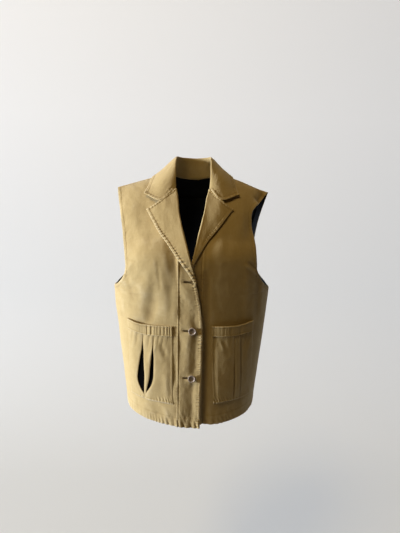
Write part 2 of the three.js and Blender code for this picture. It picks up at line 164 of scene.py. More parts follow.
# Broad folds of the panels, by x, top, bottom, lean, width and rise.
FRONT_FOLDS = [
    [-108, -120, -355, 0.0, 58, 9], [108, -120, -355, 0.0, 58, 1], [-76, -215, -372, 0.06, 13, 1],
    [-52, -190, -400, 0.02, 12, -1], [-165, -300, -560, 0.1, 16, 2], [-128, -330, -600, 0.05, 14, -1],
    [72, -220, -372, -0.05, 13, 0.3], [176, -300, -600, -0.12, 15, 2], [146, -270, -520, -0.1, 14, -1],
    [168, -60, -190, -0.1, 22, -6], [-178, -60, -190, 0.1, 18, -2],
]
BACK_FOLDS = [
    [-95, -90, -330, 0.0, 60, 6], [95, -90, -330, 0.0, 60, 6], [0, -200, -720, 0.0, 26, -5],
    [-130, -300, -720, 0.06, 24, 6], [130, -300, -720, -0.06, 24, 6], [-70, -380, -720, 0.02, 18, 4],
    [70, -380, -720, -0.02, 18, 4],
]

# Creases of the fronts, from one x and level to another, with their width and rise.
FRONT_CREASES = [
    [-136, -50, -98, -178, 20, -2.2], [-92, 25, -80, -150, 50, -5],
    [-70, -140, -18, -282, 13, -2.6], [-70, -200, -46, -300, 8, 1.0], [-86, -205, -76, -310, 4, -0.6],
    [-114, -250, -140, -420, 18, 1.8], [-92, -262, -112, -420, 14, -1.7], [-62, -290, -70, -410, 10, 0.9],
    [-168, -222, -136, -227, 3, -0.5], [-150, -226, -200, -306, 8, 1.1], [-178, -250, -150, -340, 7, -0.9],
    [-198, -316, -160, -410, 12, 1.0], [-128, -626, -96, -668, 9, 0.9], [-70, -622, -58, -668, 7, 0.8],
    [-150, -620, -140, -672, 8, -0.8], [84, -150, 52, -250, 8, 0.3], [104, -160, 76, -262, 9, -0.3],
    [40, -196, 36, -256, 9, 1.0], [54, -230, 55, -410, 6, 0.6], [45, -230, 45, -410, 5, -0.6],
    [142, -190, 154, -400, 14, 1.6], [178, -256, 182, -400, 9, -1.4], [193, -262, 192, -400, 7, 0.9],
    [134, -226, 176, -266, 5, 1.8], [144, -220, 184, -256, 4, -1.6], [110, -626, 96, -668, 9, 0.9],
    [206, 2, 178, -46, 13, -8], [150, -620, 146, -672, 8, 0.8],
]


def fold_rise(x, level, folds):
    """How far the broad folds raise the cloth; each fades out at its two ends."""
    rise = 0
    for start, top, bottom, lean, width, height in folds:
        along = np.clip((top - level) / (top - bottom), 0, 1)
        rise = rise + height * np.sin(np.pi * along) ** 2 * bump(x - start - lean * (top - level), width)
    return rise


def crease_rise(x, level, creases):
    """How far the creases raise the cloth, each across a straight line."""
    rise = 0
    for x0, level0, x1, level1, width, height in creases:
        run = math.hypot(x1 - x0, level1 - level0)
        dx, dz = (x1 - x0) / run, (level1 - level0) / run
        along = ((x - x0) * dx + (level - level0) * dz) / run
        across = (x - x0) * dz - (level - level0) * dx
        rise = rise + height * bump(across, width) * smooth(along, 0, 0.3) * (1 - smooth(along, 0.75, 1))
    return rise


def crumple(u, v, size, seed, waves=16):
    """A smooth uneven field of about unit height, with bumps of about the given size."""
    draw = np.random.default_rng(seed)
    total = 0
    for _ in range(waves):
        turn, phase = draw.uniform(0, 2 * np.pi, 2)
        wave = 2 * np.pi / (size * draw.uniform(0.7, 1.6))
        total = total + np.cos((u * math.cos(turn) + v * math.sin(turn)) * wave + phase)
    return total / math.sqrt(waves / 2)


def ripples(run, length, seed):
    """Puckers along a seam: small swellings of about the length between narrow creases, uneven in height."""
    draw = np.random.default_rng(seed)
    a, b, c, d = draw.uniform(0, 2 * np.pi, 4)
    place = run / length + 0.35 * np.sin(run / (1.3 * length) + a) + 0.5 * np.sin(run / (3.7 * length) + b)
    swell = 0.75 + 0.3 * np.sin(run / (1.9 * length) + c) + 0.3 * np.sin(run / (4.7 * length) + d)
    return 1.8 * swell * (np.abs(np.sin(np.pi * place)) ** 0.8 - 0.6)


def near_hem(level):
    """0 above the hem's curve, growing to 1 at the hem."""
    return smooth(HEM_RISE_FROM - level, 0, HEM_RISE_FROM - HEM)


def signed_power(value, power):
    """A power that keeps the sign of its value."""
    return np.sign(value) * np.abs(value) ** power


def lift_at(level):
    """0 below the chest, growing to 1 at the shoulder seam."""
    return np.clip((level + SHOULDER_ROUND) / SHOULDER_ROUND, 0, 1)


def shell(angle, level):
    """A point of the vest's smooth shell; the angle is 0 at the front middle and 180 degrees behind."""
    body = BODY(level)
    power = 2 / SECTION_POWER
    x = body["width"] * signed_power(np.sin(angle), power)
    is_back = np.cos(angle) < 0
    full = -np.where(is_back, body["back"], body["front"]) * signed_power(np.cos(angle), power)
    lift = lift_at(level)
    rounding = np.where(is_back, ROUNDING_BACK, ROUNDING_FRONT)
    in_neck = np.sqrt(np.maximum(0, 1 - (x / NECK_SIDE) ** 2))
    top = SHOULDER_RIDGE + np.where(is_back, NECK_BACK * in_neck, 0)
    eased = lift * smooth(lift, 0, 0.35)
    y = top + (full - top) * (1 - eased**rounding) ** (1 / rounding)
    share = np.abs(x) / body["width"]
    ridge = MIDDLE_RIDGE * (np.sin(np.pi * share**1.3) - bump(share, 0.25)) * smooth(-level, 60, 170)
    y = y + np.where(is_back, 0, ridge)
    drop = lift * SHOULDER_SLOPE * np.maximum(0, np.abs(x) - NECK_SIDE)
    rise = HEM_RISE * near_hem(level) * (x / body["width"]) ** 2
    droop = LEFT_DROOP * smooth(x, 110, 205) * smooth(level, -200, -40)
    return np.stack(np.broadcast_arrays(x, y, level - drop - droop + rise), -1)


def angle_at(x, level):
    """The angle at which the front is a distance x from the middle."""
    share = np.clip(np.abs(x) / BODY(level)["width"], 0, 1)
    return np.arcsin(share ** (SECTION_POWER / 2)) * np.sign(x)


def out_from(angle, level):
    """The direction straight out of the smooth shell."""
    turn, step = 0.012, 1.5
    across = shell(angle + turn, level) - shell(angle - turn, level)
    up = shell(angle, np.minimum(level + step, 0)) - shell(angle, level - step)
    return unit(np.cross(across, up))


def grid_normals(points):
    """The way out at every point of a grid whose rows run up and columns to the viewer's right."""
    return unit(np.cross(np.gradient(points, axis=1), np.gradient(points, axis=0)))


class Side:
    """One half of the front: own distances count from the middle towards its side seam."""

    def __init__(self, name, sign, sinks, hem_lift, hem_reach):
        self.name, self.sign, self.sinks = name, sign, sinks
        self.hem_lift, self.hem_reach = hem_lift, hem_reach
        self.outer = "left" if sign < 0 else "right"
        self.inner = "right" if sign < 0 else "left"

    def sink(self, own, level):
        """How far this front sinks where it passes under the other one."""
        if not self.sinks:
            return 0.0
        across = 1 - smooth(own, RECESS_FULL, RECESS_FROM)
        down = 1 - smooth(level, -190, -100)
        slack = HEM_SLACK * smooth(-level, 560, 690)
        return -(RECESS + slack) * across * down

    def in_order(self, grid):
        """The grid with its columns from the viewer's left to right."""
        return grid[:, ::-1] if self.sign < 0 else grid


RIGHT = Side("right", sign=-1, sinks=False, hem_lift=-4, hem_reach=75)
LEFT = Side("left", sign=1, sinks=True, hem_lift=1, hem_reach=150)

EDGES = {
    "left": (np.s_[:, 0], np.s_[:, 1]),
    "right": (np.s_[:, -1], np.s_[:, -2]),
    "bottom": (np.s_[0], np.s_[1]),
    "top": (np.s_[-1], np.s_[-2]),
}


class Cloth:
    """A cloth wall: the points at its middle, which way is out, and its relief, in millimetres."""

    def __init__(self, points, out, x=None, level=None, thick=CANVAS, grain=0):
        self.points, self.out, self.x, self.level = points, out, x, level
        self.relief = np.zeros(points.shape[:2])
        self.wear = np.zeros(points.shape[:2])
        self.thick = np.full(points.shape[:2], thick)
        across = np.linalg.norm(np.diff(points, axis=1), axis=-1)
        up = np.linalg.norm(np.diff(points, axis=0), axis=-1)
        self.u = np.pad(np.cumsum(across, axis=1), ((0, 0), (1, 0)))
        self.u = self.u - self.u[:, [grain]]
        self.v = np.pad(np.cumsum(up, axis=0), ((1, 0), (0, 0)))
        self.rows = []

    def seam(self, edge, where=slice(None)):
        """The line along an edge and the direction inward from each of its points."""
        on, beside = EDGES[edge]
        line, inner = self.points[on][where], self.points[beside][where]
        run = unit(np.gradient(line, axis=0))
        inward = inner - line
        inward = inward - (inward * run).sum(-1, keepdims=True) * run
        return line, unit(inward)

    def face(self):
        """The outer face and its normals, with the relief."""
        middle = self.points + self.out * self.relief[..., None]
        normal = grid_normals(middle)
        return middle + normal * self.thick[..., None] / 2, normal

    def cut(self):
        """Width, length and area of the flat cloth, in metres."""
        width = np.ptp(self.u, axis=1).max()
        length = np.ptp(self.v, axis=0).max()
        a = self.points[1:, 1:] - self.points[:-1, :-1]
        b = self.points[1:, :-1] - self.points[:-1, 1:]
        area = np.linalg.norm(np.cross(a, b), axis=-1).sum() / 2
        return width * MM, length * MM, area * MM * MM


def from_line(points, line, most=90):
    """How far each point is from a line, and how far along the line its nearest place is."""
    line = line[np.unique(np.linspace(0, len(line) - 1, most).round().astype(int))]
    nearest = np.full(points.shape[:-1], np.inf)
    run = np.zeros(points.shape[:-1])
    start = 0.0
    for a, b in zip(line[:-1], line[1:]):
        step = b - a
        length = np.linalg.norm(step)
        share = np.clip((points - a) @ step / length**2, 0, 1)
        distance = np.linalg.norm(points - a - share[..., None] * step, axis=-1)
        run = np.where(distance < nearest, start + share * length, run)
        nearest = np.minimum(nearest, distance)
        start += length
    return nearest, run


def turned_edge(cloth, seam, width, seed, pucker=0.5, length=11, slant=0.0, groove=0.5, rows=(0.0,)):
    """Turns an edge in and sews it down: a second layer, a sewn groove and the puckers that it draws."""
    line, _ = seam
    distance, run = from_line(cloth.points, line)
    cloth.relief += FOLDED * min(1, 2 * groove) * (1 - smooth(distance, width - 1, width + 2))
    profile = (0.4 + 0.6 * smooth(distance, 0, 0.35 * width)) * (1 - smooth(distance, width, 1.8 * width))
    cloth.relief += pucker * profile * ripples(run + slant * distance, length, seed)
    cloth.wear += 0.5 * bump(distance, 2.5)
    for back in rows:
        cloth.relief -= groove * bump(distance - width + back, 1.5)
        cloth.wear -= 0.7 * groove * bump(distance - width + back, 2.2)
        cloth.rows.append((seam, width - back))


def felled_seam(cloth, seam, half, seed, pucker=0.6, length=12):
    """A seam sewn flat: a ridge along the join, and a sewn groove beside it."""
    line, _ = seam
    distance, run = from_line(cloth.points, line)
    cloth.relief *= smooth(distance, -2, 10)
    cloth.relief += 0.5 * (1 - smooth(distance, half - 2, half + 1)) - 0.5 * bump(distance - half - 1, 1.5)
    fade = 1 - smooth(distance, half, half + 14)
    cloth.relief += pucker * fade * ripples(run, length, seed)
    cloth.wear += 0.4 * bump(distance, half * 0.7) - 0.4 * bump(distance - half - 1, 2)
    cloth.rows.append((seam, half))


# Dents of the washed cloth: height, how closely they follow each other across and along, and spacing.
DENTS = [[0.6, 1.3, 0.7, 90], [0.2, 1.2, 0.8, 34], [0.07, 1.0, 1.0, 13]]


def crumpled(cloth, seed, size=1.0):
    """The uneven surface that washing gives the cloth: broad, middling and small dents."""
    for k, (height, across, along, spacing) in enumerate(DENTS):
        cloth.relief += size * height * crumple(cloth.u * across, cloth.v * along, spacing, seed + k)


def sewn_row(cloth, seam, inset):
    """Lays a row of topstitching on the face of the cloth, a way in from the seam."""
    line, inward = seam
    path = line + inward * inset
    reach = np.concatenate([[0], np.cumsum(np.linalg.norm(np.diff(path, axis=0), axis=1))])
    places = np.arange(STITCH_PITCH / 2, reach[-1], STITCH_PITCH)
    centres = np.stack([np.interp(places, reach, path[:, k]) for k in range(3)], -1)
    centres, normal = seated(cloth, centres)
    stitches["topstitching"].append((centres, unit(np.gradient(centres, axis=0)), normal))


def seated(cloth, places):
    """The nearest places on the face of the cloth, and its normals there."""
    face, normal = cloth.face()
    face, normal = face.reshape(-1, 3), normal.reshape(-1, 3)
    if not hasattr(cloth, "tree"):
        cloth.tree = KDTree(len(face))
        for k, point in enumerate(face):
            cloth.tree.insert(point, k)
        cloth.tree.balance()
    nearest = np.array([cloth.tree.find(point)[1] for point in places])
    normal = normal[nearest]
    gap = ((places - face[nearest]) * normal).sum(-1, keepdims=True)
    return places - gap * normal, normal


def new_mesh(name, vertices, faces, uv=None, wear=None):
    """A smooth mesh object from arrays, in metres; every face has the same number of corners."""
    mesh = bpy.data.meshes.new(name)
    corners = faces.shape[1]
    mesh.vertices.add(len(vertices))
    mesh.vertices.foreach_set("co", (vertices * MM).astype(np.float32).ravel())
    mesh.loops.add(faces.size)
    mesh.loops.foreach_set("vertex_index", faces.astype(np.int32).ravel())
    mesh.polygons.add(len(faces))
    mesh.polygons.foreach_set("loop_start", np.arange(0, faces.size, corners, dtype=np.int32))
    mesh.update(calc_edges=True)
    mesh.polygons.foreach_set("use_smooth", np.ones(len(faces), bool))
    if uv is not None:
        layer = mesh.uv_layers.new(name="cloth")
        layer.data.foreach_set("uv", (uv[faces.ravel()] * MM).astype(np.float32).ravel())
    if wear is not None:
        attribute = mesh.attributes.new("wear", "FLOAT", "POINT")
        attribute.data.foreach_set("value", wear.astype(np.float32))
    piece = bpy.data.objects.new(name, mesh)
    bpy.context.scene.collection.objects.link(piece)
    return piece


def wall(cloth):
    """Vertices, faces, flat places and wear of a closed cloth wall with rounded edges."""
    face, normal = cloth.face()
    half = cloth.thick[..., None] / 2
    middle = face - normal * half
    rows, columns = cloth.relief.shape
    outward = np.zeros_like(middle)
    for on, beside in EDGES.values():
        outward[on] += unit(middle[on] - middle[beside])
    index = np.arange(rows * columns).reshape(rows, columns)
    ring = np.concatenate([index[0, :-1], index[:-1, -1], index[-1, :0:-1], index[:0:-1, 0]])
    rim = (middle.reshape(-1, 3) + unit(outward).reshape(-1, 3) * half.reshape(-1, 1))[ring]
    vertices = np.concatenate([face.reshape(-1, 3), (middle - normal * half).reshape(-1, 3), rim])
    a, b, c, d = (part.ravel() for part in (index[:-1, :-1], index[:-1, 1:], index[1:, 1:], index[1:, :-1]))
    count = rows * columns
    edge = np.arange(len(ring)) + 2 * count
    next_ring, next_edge = np.roll(ring, -1), np.roll(edge, -1)
    faces = np.concatenate([
        np.stack([a, b, c, d], -1),
        np.stack([d, c, b, a], -1) + count,
        np.stack([next_ring, ring, edge, next_edge], -1),
        np.stack([next_edge, edge, ring + count, next_ring + count], -1),
    ])
    flat = np.stack([cloth.u, cloth.v], -1).reshape(-1, 2)
    wear = worn_and_shaded(cloth).ravel()
    return vertices, faces, np.concatenate([flat, flat, flat[ring]]), np.concatenate([wear, wear, wear[ring]])


def dressed(piece, material):
    """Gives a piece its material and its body."""
    piece.data.materials.append(material)
    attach(piece, VEST)


def worn_and_shaded(cloth):
    """Wear and painted shade from -1 to 1: raised places are rubbed pale, grooves keep their colour, and the
    marks laid on the cloth, painted shade among them, are added.
    """
    broad = cloth.relief.copy()
    for axis in (0, 1):
        for _ in range(3):
            broad = (broad + np.roll(broad, 2, axis) + np.roll(broad, -2, axis)) / 3
    return np.clip(cloth.wear + 0.8 * (cloth.relief - broad), -1, 1)


def cloth_piece(name, cloths, material, node, inside=None):
    """Makes one piece of sewn cloth, with its stitches, in the place of a node of the part."""
    parts = [wall(cloth) for cloth in cloths]
    starts = np.cumsum([0] + [len(part[0]) for part in parts[:-1]])
    piece = new_mesh(
        name,
        np.concatenate([part[0] for part in parts]),
        np.concatenate([part[1] + start for part, start in zip(parts, starts)]),
        np.concatenate([part[2] for part in parts]),
        np.concatenate([part[3] for part in parts]),
    )
    dressed(piece, material)
    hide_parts(node)
    if inside:
        rows, columns = cloths[0].relief.shape
        count = (rows - 1) * (columns - 1)
        lined = np.zeros(len(piece.data.polygons), np.int32)
        lined[count:2 * count] = 1
        piece.data.materials.append(inside)
        piece.data.polygons.foreach_set("material_index", lined)
    for cloth in cloths:
        for seam, inset in cloth.rows:
            sewn_row(cloth, seam, inset)
    cuts = [cloth.cut() for cloth in cloths]


def colour(code):
    """An sRGB hex code as linear values."""
    shares = [int(code[k:k + 2], 16) / 255 for k in (1, 3, 5)]
    return (*[c / 12.92 if c <= 0.04045 else ((c + 0.055) / 1.055) ** 2.4 for c in shares], 1.0)


def add_node(tree, kind, inputs=None, **settings):
    """Adds a node with its settings; an input is a value, or the output that it links from."""
    node = tree.nodes.new(kind)
    for name, value in settings.items():
        setattr(node, name, value)
    for name, value in (inputs or {}).items():
        if isinstance(value, bpy.types.NodeSocket):
            tree.links.new(value, node.inputs[name])
        else:
            node.inputs[name].default_value = value
    return node


def new_material(name):
    """An empty material and its node tree."""
    material = bpy.data.materials.new(name)
    material.use_nodes = True
    material.node_tree.nodes.clear()
    return material, material.node_tree


# Per metre of cloth: slubs are about 1.4 mm wide and 22 mm long, and worn patches about 38 mm across.
SLUBS, PATCHES = (700, 45, 1), 26.0


def woven_cloth(name, dark, middle, pale, yarn, bump_height, sheen, rough, shine=0.25):
    """Woven cloth: crossing yarns under the finger, uneven slubs, dye faded by washing, and painted shade
    carried in the same marks.
    """
    material, tree = new_material(name)
    flat = add_node(tree, "ShaderNodeUVMap", uv_map="cloth").outputs["UV"]
    wave = {"Vector": flat, "Scale": 2 * math.pi / 20 / (2 * yarn * MM), "Distortion": 0.4}
    warp = add_node(tree, "ShaderNodeTexWave", wave, bands_direction="X").outputs["Fac"]
    weft = add_node(tree, "ShaderNodeTexWave", wave, bands_direction="Y").outputs["Fac"]
    over = add_node(tree, "ShaderNodeMath", {0: warp, 1: weft}, operation="SUBTRACT").outputs[0]
    weave = add_node(tree, "ShaderNodeMath", {0: over}, operation="ABSOLUTE").outputs[0]
    down = add_node(tree, "ShaderNodeMapping", {"Vector": flat, "Scale": SLUBS}).outputs[0]
    slub = add_node(tree, "ShaderNodeTexNoise", {"Vector": down, "Scale": 1.0, "Detail": 2.0}).outputs["Fac"]
    patch = add_node(tree, "ShaderNodeTexNoise", {
        "Vector": flat, "Scale": PATCHES, "Detail": 4.0, "Roughness": 0.6,
    }).outputs["Fac"]
    wear = add_node(tree, "ShaderNodeAttribute", attribute_name="wear").outputs["Fac"]
    tone = 0.225
    for part, share in ((patch, 0.3), (slub, 0.25), (wear, 0.3)):
        added = {0: part, 1: share, 2: tone}
        tone = add_node(tree, "ShaderNodeMath", added, operation="MULTIPLY_ADD").outputs[0]
    ramp = add_node(tree, "ShaderNodeValToRGB", {"Fac": tone})
    ramp.color_ramp.elements[0].color = colour(dark)
    ramp.color_ramp.elements[1].color = colour(pale)
    ramp.color_ramp.elements[0].position, ramp.color_ramp.elements[1].position = 0.1, 0.9
    ramp.color_ramp.elements.new(0.5).color = colour(middle)
    uneven = {0: slub, 1: 0.8, 2: weave}
    height = add_node(tree, "ShaderNodeMath", uneven, operation="MULTIPLY_ADD").outputs[0]
    grain = add_node(tree, "ShaderNodeBump", {
        "Height": height, "Strength": 0.6, "Distance": bump_height * MM,
    }).outputs["Normal"]
    shader = add_node(tree, "ShaderNodeBsdfPrincipled", {
        "Base Color": ramp.outputs["Color"], "Roughness": rough, "Normal": grain,
        "IOR": 1.5, "Specular IOR Level": shine, "Sheen Weight": sheen, "Sheen Roughness": 0.5,
    })
    add_node(tree, "ShaderNodeOutputMaterial", {"Surface": shader.outputs[0]})
    return material


TWISTS = 900.0      # turns of the thread's twist to the metre, about 1.1 mm each


def sewing_thread(name, code):
    """Spun polyester-cotton thread: a dull twisted strand, a little paler than the cloth."""
    material, tree = new_material(name)
    place = add_node(tree, "ShaderNodeTexCoord").outputs["Object"]
    twist = add_node(tree, "ShaderNodeTexNoise", {"Vector": place, "Scale": TWISTS}).outputs["Fac"]
    ramp = add_node(tree, "ShaderNodeValToRGB", {"Fac": twist})
    red, green, blue, _ = colour(code)
    ramp.color_ramp.elements[0].color = (red * 0.75, green * 0.75, blue * 0.75, 1)
    ramp.color_ramp.elements[1].color = (red, green, blue, 1)
    shader = add_node(tree, "ShaderNodeBsdfPrincipled", {
        "Base Color": ramp.outputs["Color"], "Roughness": 0.75, "Specular IOR Level": 0.3,
    })
    add_node(tree, "ShaderNodeOutputMaterial", {"Surface": shader.outputs[0]})
    return material


STREAKS = (60, 60, 320)     # per metre: streaks of the horn are about 17 mm long and 3 mm wide


def horn_button(name):
    """Turned imitation horn: dark brown with paler streaks, polished by use."""
    material, tree = new_material(name)
    place = add_node(tree, "ShaderNodeTexCoord").outputs["Object"]
    along = add_node(tree, "ShaderNodeMapping", {"Vector": place, "Scale": STREAKS}).outputs[0]
    streak = add_node(tree, "ShaderNodeTexNoise", {
        "Vector": along, "Scale": 1.0, "Detail": 4.0, "Distortion": 1.2,
    }).outputs["Fac"]
    ramp = add_node(tree, "ShaderNodeValToRGB", {"Fac": streak})
    ramp.color_ramp.elements[0].color = colour("#75665a")
    ramp.color_ramp.elements[1].color = colour("#c6b5a2")
    ramp.color_ramp.elements[0].position, ramp.color_ramp.elements[1].position = 0.35, 0.75
    rough = add_node(tree, "ShaderNodeMapRange", {"Value": streak, "To Min": 0.28, "To Max": 0.45}).outputs[0]
    shader = add_node(tree, "ShaderNodeBsdfPrincipled", {
        "Base Color": ramp.outputs["Color"], "Roughness": rough, "IOR": 1.54,
    })
    add_node(tree, "ShaderNodeOutputMaterial", {"Surface": shader.outputs[0]})
    return material


# Cotton canvas, plain woven and washed many times: dull, a little fuzzy, paler where it is rubbed, and darker
# where painted shade is laid into its wear marks.
# Its yarns are about 0.7 mm apart; they are drawn twice as coarse so that the weave shows at all.
washed_canvas = woven_cloth(
    "washed_cotton_canvas", "#977f50", "#b39c69", "#c9b68b",
    yarn=1.4, bump_height=0.35, sheen=0.25, rough=0.9)
# Cotton twill lining, dyed nearly black: smooth, with hardly any gloss. Yarns 0.3 mm apart, drawn as 0.8 mm.
dark_lining = woven_cloth(
    "dark_twill_lining", "#0a0b0c", "#101113", "#18191c",
    yarn=0.8, bump_height=0.12, sheen=0.02, rough=0.85, shine=0.08)
# Near-black cloth behind the pleat: a dark lining, painted blacker than the lining to stand in for the shade
# inside the slits.
pleat_cloth = woven_cloth(
    "black_pleat_cloth_painted_shade", "#020202", "#030303", "#050505",
    yarn=0.8, bump_height=0.12, sheen=0.0, rough=0.95, shine=0.02)
# Spun thread in the canvas's own colour, and a dark waxed one for the buttons and buttonholes.
khaki_thread = sewing_thread("khaki_sewing_thread", "#c2ad7a")
brown_thread = sewing_thread("brown_buttonhole_thread", "#5b4a30")
# Imitation horn, cast and turned: streaks run through it, and wear has polished the rim.
brown_horn = horn_button("brown_horn_button")


def body_grid(side, angle, level, off):
    """Points on a front at given angles and levels, the way out, and their x."""
    on_shell = shell(angle, level)
    out = out_from(angle, level)
    x = on_shell[..., 0]
    own = side.sign * x
    rise = off + fold_rise(x, level, FRONT_FOLDS) + side.sink(own, level)
    points = on_shell + out * rise[..., None]
    near = near_hem(level) * (1 - smooth(own, -BAND_EDGE, side.hem_reach))
    points[..., 2] += side.hem_lift * near
    return points, out, x


def front_cloth(side, inner, outer, levels, columns, spread=1.0, off=0.0, thick=CANVAS):
    """A front panel between two edges, which are given as own distances at each level."""
    seam = side.sign * math.pi / 2
    start = angle_at(side.sign * inner, levels)[:, None]
    stop = angle_at(side.sign * outer, levels)[:, None]
    share = np.linspace(0, 1, columns + 1)[None, :]
    angle = start + (seam - start) * share - (seam - stop) * share**spread
    level = np.broadcast_to(levels[:, None], angle.shape)
    angle, level = side.in_order(angle), side.in_order(level)
    off = side.in_order(np.broadcast_to(off, angle.shape))
    points, out, x = body_grid(side, angle, level, off)
    return Cloth(points, out, x, level, thick, grain=-1 if side.sign < 0 else 0)


def shoulder_levels(bottom, step):
    """Levels up to the shoulder seam, closer together where the shoulder turns over."""
    straight = np.arange(bottom, -24, step)
    return np.concatenate([straight, -24 * np.linspace(1, 0, 12) ** 2])


def pocket_zone(own, level):
    """1 under a pocket, where the front lies flat."""
    return smooth(own, 30, 50) * smooth(-level, 380, 400) * (1 - smooth(-level, 616, 630))


def hemmed(cloth):
    """Turns the hem up, with the short puckers that its sewing draws at the lower edge."""
    hem = cloth.seam("bottom")
    turned_edge(cloth, hem, width=27, seed=10, pucker=0.3, length=14, slant=0.3, groove=0.3)
    distance, run = from_line(cloth.points, hem[0])
    puckers = ripples(run + 0.25 * distance, length=12, seed=36)
    cloth.relief += 1.7 * (1 - smooth(distance, 6, 26)) * puckers


def hang_back(cloth):
    """The left front under the overlap: it hangs back towards the hem, and painted shade darkens its colour
    beside the overlap.
    """
    cloth.relief -= UNDER_SINK * smooth(-cloth.level, 320, 400) * (1 - smooth(cloth.x, 44, 62))
    cloth.relief -= UNDER_SLACK * smooth(-cloth.level, 520, 680) * (1 - smooth(cloth.x, 14, 56))
    # Painted shade: the strip under the overlap is darkened in colour, standing in for the shadow cast by the
    # right band.
    cloth.wear -= 1.2 * (1 - smooth(cloth.x, 36, 48)) * smooth(-cloth.level, 230, 270)


def make_front(side):
    """A front panel from its band seam to the side seam, hemmed and sewn all round."""
    levels = shoulder_levels(HEM, step=2.5)
    inner = np.maximum(BAND_SEAM - LAP, ROLL(levels)[side.name])
    outer = np.where(levels <= UNDERARM, BODY(levels)["width"], ARMHOLE(levels)[side.name])
    cloth = front_cloth(side, inner, outer, levels, columns=92, spread=SPREAD)
    if side is RIGHT:
        crumpled(cloth, seed=11)
    else:
        crumpled(cloth, seed=31, size=0.5)
    cloth.relief += crease_rise(cloth.x, cloth.level, FRONT_CREASES)
    cloth.relief *= 1 - 0.7 * pocket_zone(side.sign * cloth.x, cloth.level)
    if side is LEFT:
        hang_back(cloth)
    on_side, on_armhole = levels <= UNDERARM, levels >= UNDERARM
    on_band = levels <= BAND_TOP
    felled_seam(cloth, cloth.seam(side.inner, on_band), half=4, seed=5, pucker=0.25)
    felled_seam(cloth, cloth.seam(side.outer, on_side), half=3, seed=6, pucker=0.4)
    turned_edge(cloth, cloth.seam(side.outer, on_armhole), width=8, seed=8, pucker=0.4, groove=0.3)
    felled_seam(cloth, cloth.seam("top"), half=3, seed=9, pucker=0.3)
    hemmed(cloth)
    cloth_piece(f"canvas_front_{side.name}", [cloth], washed_canvas, f"front_{side.name}",
                inside=dark_lining)


def front_edge(level):
    """How far the right band's edge runs past the middle: a little farther where it is buttoned."""
    return BAND_FLARE * smooth(-level, 310, 400) - ROLL(level)["right"]


def fold_band(cloth):
    """The right band between its buttons: a valley, then a soft fold that stands up along the edge."""
    x, level = cloth.x, cloth.level
    held = sum(bump(level - hole, 14) for hole in BUTTON_LEVELS.values())
    loose = smooth(-level, 290, 420) * (1 - 0.6 * held)
    lower = smooth(-level, 490, 560)
    valley = 0.8 + 2.3 * smooth(-level, 385, 460) + 1.9 * lower
    lip = 3.6 + 1.6 * lower
    from_edge = x - front_edge(level)
    cloth.relief -= loose * valley * smooth(from_edge, -46 - 12 * lower, -17)
    cloth.relief += loose * lip * smooth(from_edge, -20 - 6 * lower, -1)
    for hole in BUTTON_LEVELS.values():
        slit = bump(np.maximum(0, np.abs(x - SLIT_MIDDLE) - SLIT_HALF), 2)
        pulled = 1.4 * bump(x + 12, 12) * bump(level - hole, 9)
        cloth.relief -= 1.2 * slit * bump(level - hole, 1.4) + pulled
        # Painted shade: the cloth along each slit is darkened, standing in for the shade inside the cut.
        cloth.wear -= 1.5 * slit * bump(level - hole, 2.0)


def make_band(side):
    """The band along a front's edge; the right one lies on top and carries the buttonholes."""
    levels = np.linspace(HEM, BAND_TOP, 380)
    edge = -front_edge(levels) if side is RIGHT else ROLL(levels)[side.name]
    cloth = front_cloth(side, edge, np.full_like(levels, BAND_SEAM + LAP), levels, columns=42)
    crumpled(cloth, seed=51 if side is RIGHT else 61)
    if side is RIGHT:
        fold_band(cloth)
    else:
        hang_back(cloth)
    felled_seam(cloth, cloth.seam(side.outer), half=4, seed=5, pucker=0.25)
    turned_edge(cloth, cloth.seam(side.inner), width=7, seed=12, pucker=0.9, length=7)
    hemmed(cloth)
    cloth_piece(f"canvas_band_{side.name}", [cloth], washed_canvas, f"front_band_{side.name}")
    return cloth


def on_front(side, own, level, off):
    """Points laid on a front at own distances from the middle."""
    return body_grid(side, angle_at(side.sign * own, level), level, off)


ROLL_COLUMNS = 10       # columns of a lapel that turn over from the front to its face


